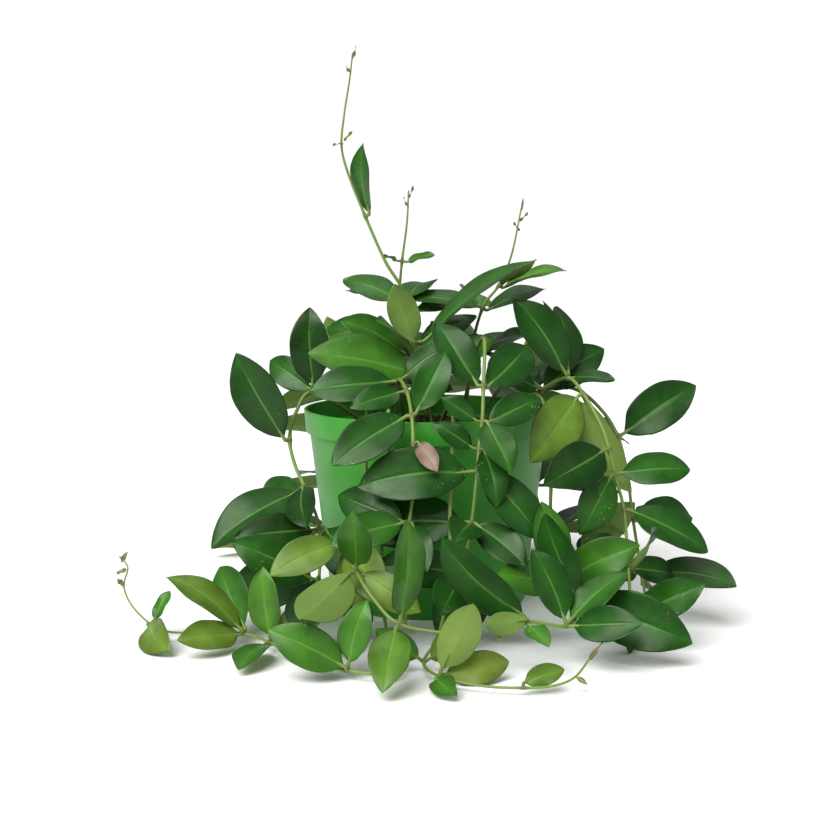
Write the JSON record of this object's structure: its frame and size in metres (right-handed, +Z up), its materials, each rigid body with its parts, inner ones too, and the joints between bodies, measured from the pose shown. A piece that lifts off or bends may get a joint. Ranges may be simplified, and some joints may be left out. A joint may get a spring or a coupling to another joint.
{
  "type": "potted hoya plant",
  "caption": "Trailing hoya with thick pointed leaves in pairs, growing over the rim of a round nursery pot onto the surface around it.",
  "frame": {"origin": "middle of the pot's flat underside, which rests on the surface", "axes": "+Z up along the pot's axis, -Y to the front where most vines hang, +X to the right seen from the front"},
  "size_m": [0.3467, 0.3625, 0.3301],
  "materials": {
    "pot": "moulded, smooth, slightly glossy",
    "potting_mix": "damp bark and peat, rough",
    "stem": "satin, yellow-green with brown stretches",
    "leaf": "waxy satin with a pale midrib",
    "shoot": "waxy satin, young growth"
  },
  "bodies": {
    "root": {"back_left_vine": "shoot", "back_right_vine": "shoot", "back_vine": "shoot", "centre_front_leaves_1": "leaf", "centre_front_leaves_2": "leaf", "centre_front_leaves_3": "leaf", "centre_front_leaves_4": "leaf", "centre_front_leaves_5": "leaf", "centre_front_leaves_6": "leaf", "centre_front_stem": "stem", "inner_shoot": "shoot", "left_floor_leaves_1": "leaf", "left_floor_leaves_2": "leaf", "left_floor_leaves_3": "leaf", "left_floor_leaves_4": "leaf", "left_floor_stem": "stem", "left_front_leaves_1": "leaf", "left_front_leaves_2": "leaf", "left_front_leaves_3": "leaf", "left_front_leaves_4": "leaf", "left_front_leaves_5": "leaf", "left_front_stem": "stem", "left_middle_leaves_1": "leaf", "left_middle_leaves_2": "leaf", "left_middle_leaves_3": "leaf", "left_middle_stem": "stem", "left_rim_leaves_1": "leaf", "left_rim_leaves_2": "leaf", "left_rim_leaves_3": "leaf", "left_rim_leaves_4": "leaf", "left_rim_leaves_5": "leaf", "left_rim_stem": "stem", "left_shoot": "shoot", "pot": "pot", "potting_mix": "potting_mix", "right_front_leaves_1": "leaf", "right_front_leaves_2": "leaf", "right_front_leaves_3": "leaf", "right_front_stem": "stem", "right_low_leaves_1": "leaf", "right_low_leaves_2": "leaf", "right_low_leaves_3": "leaf", "right_low_leaves_4": "leaf", "right_low_stem": "stem", "right_rim_leaves_1": "leaf", "right_rim_leaves_2": "leaf", "right_rim_leaves_3": "leaf", "right_rim_leaves_4": "leaf", "right_rim_leaves_5": "leaf", "right_rim_leaves_6": "leaf", "right_rim_leaves_7": "leaf", "right_rim_leaves_8": "leaf", "right_rim_stem": "stem", "right_shoot": "shoot", "right_side_leaves_1": "leaf", "right_side_leaves_2": "leaf", "right_side_leaves_3": "leaf", "right_side_leaves_4": "leaf", "right_side_stem": "stem", "tall_shoot": "shoot"}
  },
  "joints": []
}
